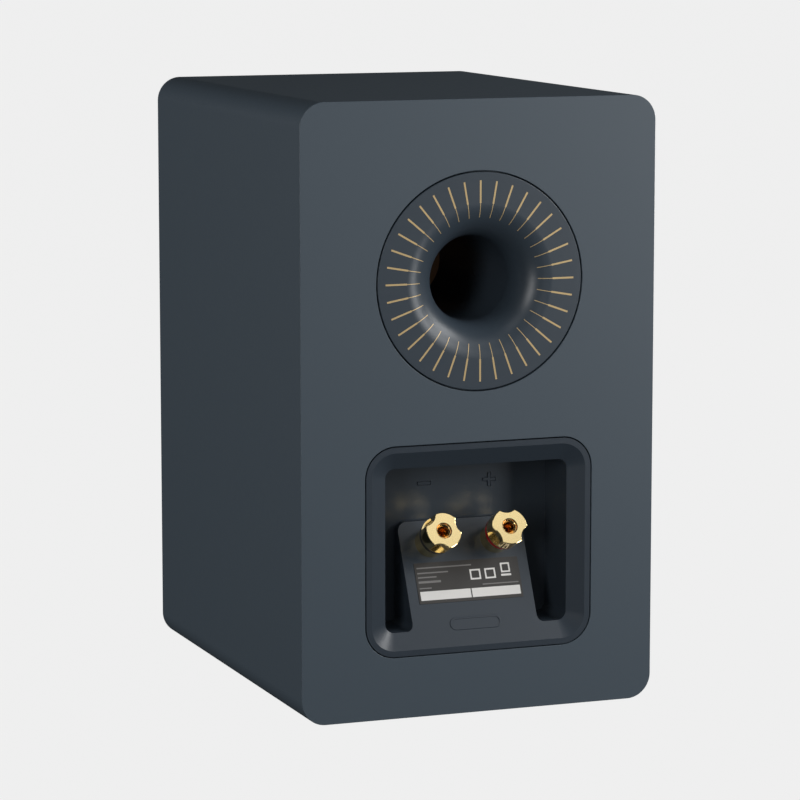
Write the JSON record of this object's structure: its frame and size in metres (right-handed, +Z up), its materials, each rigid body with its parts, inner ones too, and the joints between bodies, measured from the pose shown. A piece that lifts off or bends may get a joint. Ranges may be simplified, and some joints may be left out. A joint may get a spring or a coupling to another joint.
{
  "type": "bookshelf speaker",
  "caption": "Two-way bookshelf loudspeaker, slate-painted cabinet with a flared rear port and a recessed terminal cup with screw-down binding posts.",
  "frame": {"origin": "middle of the cabinet's underside", "axes": "+X right seen from the front, +Y towards the rear face with the port and the posts, +Z up"},
  "size_m": [0.15, 0.1865, 0.245],
  "materials": {
    "cabinet_paint": "satin slate paint on fibreboard",
    "port_plastic": "satin moulded",
    "ray_inlay": "satin",
    "cup_plastic": "satin moulded",
    "foam": "matt",
    "label": "matt printed film",
    "stud_metal": "bright",
    "ring_red": "gloss",
    "ring_black": "gloss",
    "post_gold": "polished gold plate",
    "black_plastic": "satin",
    "black_metal": "satin",
    "steel": "plated",
    "ferrite": "matt",
    "copper": "enamelled",
    "paper_cone": "matt pressed pulp",
    "rubber_surround": "satin",
    "cloth_amber": "resin-dipped weave",
    "silk_dome": "coated silk",
    "kapton": "clear amber film",
    "circuit_board": "phenolic",
    "white_ceramic": "matt",
    "film_yellow": "gloss",
    "wire_red": "PVC",
    "wire_black": "PVC",
    "wire_blue": "PVC",
    "felt": "needled felt"
  },
  "bodies": {
    "cabinet": {"cabinet_shell": "cabinet_paint", "front_baffle": "cabinet_paint", "rear_panel": "cabinet_paint", "port_tube": "port_plastic", "port_rays": "ray_inlay", "port_gasket": "foam", "terminal_cup": "cup_plastic", "terminal_gasket": "foam", "rating_label": "label", "post_studs": "stud_metal", "post_collars": "post_gold", "post_washers": "black_plastic", "solder_tags": "steel", "post_nuts": "steel", "woofer_basket": "black_metal", "woofer_gasket": "foam", "woofer_surround": "rubber_surround", "woofer_spider": "cloth_amber", "woofer_top_plate": "steel", "woofer_magnet": "ferrite", "woofer_yoke": "steel", "woofer_terminals": "circuit_board", "woofer_screws": "black_metal", "tweeter_faceplate": "black_plastic", "tweeter_gasket": "foam", "tweeter_surround": "silk_dome", "tweeter_top_plate": "steel", "tweeter_magnet": "ferrite", "tweeter_yoke": "steel", "tweeter_chamber": "black_plastic", "tweeter_terminals": "circuit_board", "tweeter_screws": "black_metal", "crossover_board": "circuit_board", "board_standoffs": "black_plastic", "board_screws": "steel", "inductor_bobbins": "black_plastic", "inductor_windings": "copper", "film_capacitors": "film_yellow", "ceramic_resistors": "white_ceramic", "input_wires": "wire_red", "woofer_wires": "wire_black", "tweeter_wires": "wire_blue", "side_felt": "felt", "top_felt": "felt"},
    "ring_negative_body": {"ring_negative": "ring_black"},
    "knob_negative_body": {"knob_negative": "post_gold"},
    "ring_positive_body": {"ring_positive": "ring_red"},
    "knob_positive_body": {"knob_positive": "post_gold"},
    "woofer_moving": {"woofer_cone": "paper_cone", "woofer_dust_cap": "paper_cone", "woofer_former": "kapton", "woofer_coil": "copper"},
    "tweeter_moving": {"tweeter_dome": "silk_dome", "tweeter_coil": "copper"}
  },
  "joints": [
    {"name": "negative_knob_rise", "type": "slide", "parent": "cabinet", "child": "ring_negative_body", "axis": [0, 0.9026, 0.4305], "range_m": [0, 0.005]},
    {"name": "negative_knob_turn", "type": "hinge", "parent": "ring_negative_body", "child": "knob_negative_body", "pos_m": [0.0141, 0.08411, 0.07108], "axis": [0, 0.9026, 0.4305], "range_deg": [0, 1800]},
    {"name": "positive_knob_rise", "type": "slide", "parent": "cabinet", "child": "ring_positive_body", "axis": [0, 0.9026, 0.4305], "range_m": [0, 0.005]},
    {"name": "positive_knob_turn", "type": "hinge", "parent": "ring_positive_body", "child": "knob_positive_body", "pos_m": [-0.0141, 0.08411, 0.07108], "axis": [0, 0.9026, 0.4305], "range_deg": [0, 1800]},
    {"name": "woofer_excursion", "type": "slide", "parent": "cabinet", "child": "woofer_moving", "axis": [0, -1, 0], "range_m": [-0.003, 0.003], "stiffness_N_per_m": 1000, "deforming": ["woofer_surround", "woofer_spider"]},
    {"name": "tweeter_excursion", "type": "slide", "parent": "cabinet", "child": "tweeter_moving", "axis": [0, -1, 0], "range_m": [-0.0003, 0.0003], "stiffness_N_per_m": 1500, "deforming": ["tweeter_surround"]}
  ],
  "couplings": [
    {"joint": "negative_knob_turn", "follows": "negative_knob_rise", "rad_per_m": 6283.2},
    {"joint": "positive_knob_turn", "follows": "positive_knob_rise", "rad_per_m": 6283.2}
  ]
}
